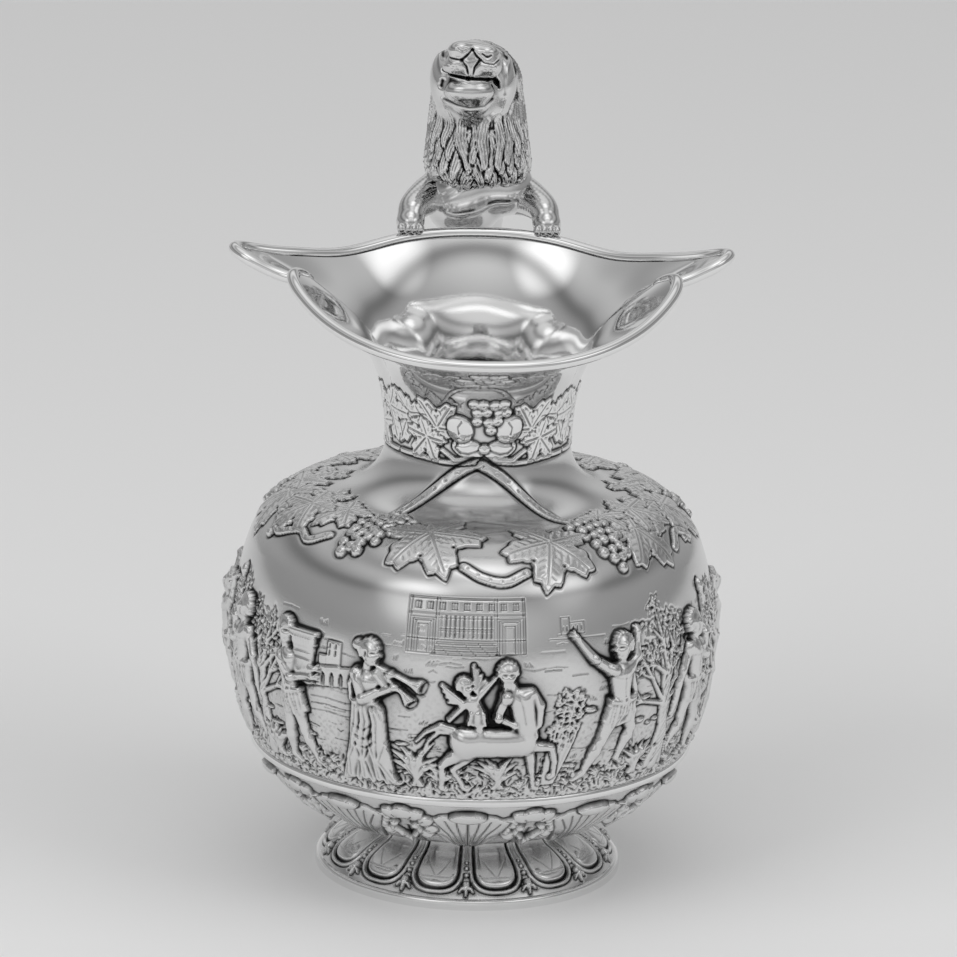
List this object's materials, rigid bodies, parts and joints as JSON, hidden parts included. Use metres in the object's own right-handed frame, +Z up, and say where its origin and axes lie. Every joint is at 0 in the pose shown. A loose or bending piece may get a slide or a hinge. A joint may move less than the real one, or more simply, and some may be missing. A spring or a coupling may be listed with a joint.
{
  "type": "pitcher",
  "caption": "Water pitcher on a domed foot with a rounded chased body, a short neck, a wide three-lobed pouring mouth and a climbing-lion handle.",
  "frame": {"origin": "on the vessel's axis, in the plane that the foot stands on", "axes": "+Z up; the pouring lip points to -Y and the handle stands at +Y; +X is to the right when the lip faces the viewer"},
  "size_m": [0.1558, 0.1809, 0.2543],
  "materials": {
    "polished_silver": "mirror polished",
    "chased_silver": "polished high spots over darkened recesses",
    "cast_silver": "polished casting with darkened recesses"
  },
  "bodies": {
    "root": {"body_wall": "chased_silver", "foot_rim_wire": "polished_silver", "foot_shell": "chased_silver", "foreleg_left": "cast_silver", "foreleg_right": "cast_silver", "girdle_wire": "polished_silver", "hindleg_left": "cast_silver", "hindleg_right": "cast_silver", "lion_head": "cast_silver", "lion_torso_left": "cast_silver", "lion_torso_right": "cast_silver", "lower_bowl": "chased_silver", "neck_mouth": "polished_silver", "rim_wire": "polished_silver", "shoulder": "chased_silver", "shoulder_plate": "chased_silver", "tail": "cast_silver"}
  },
  "joints": []
}
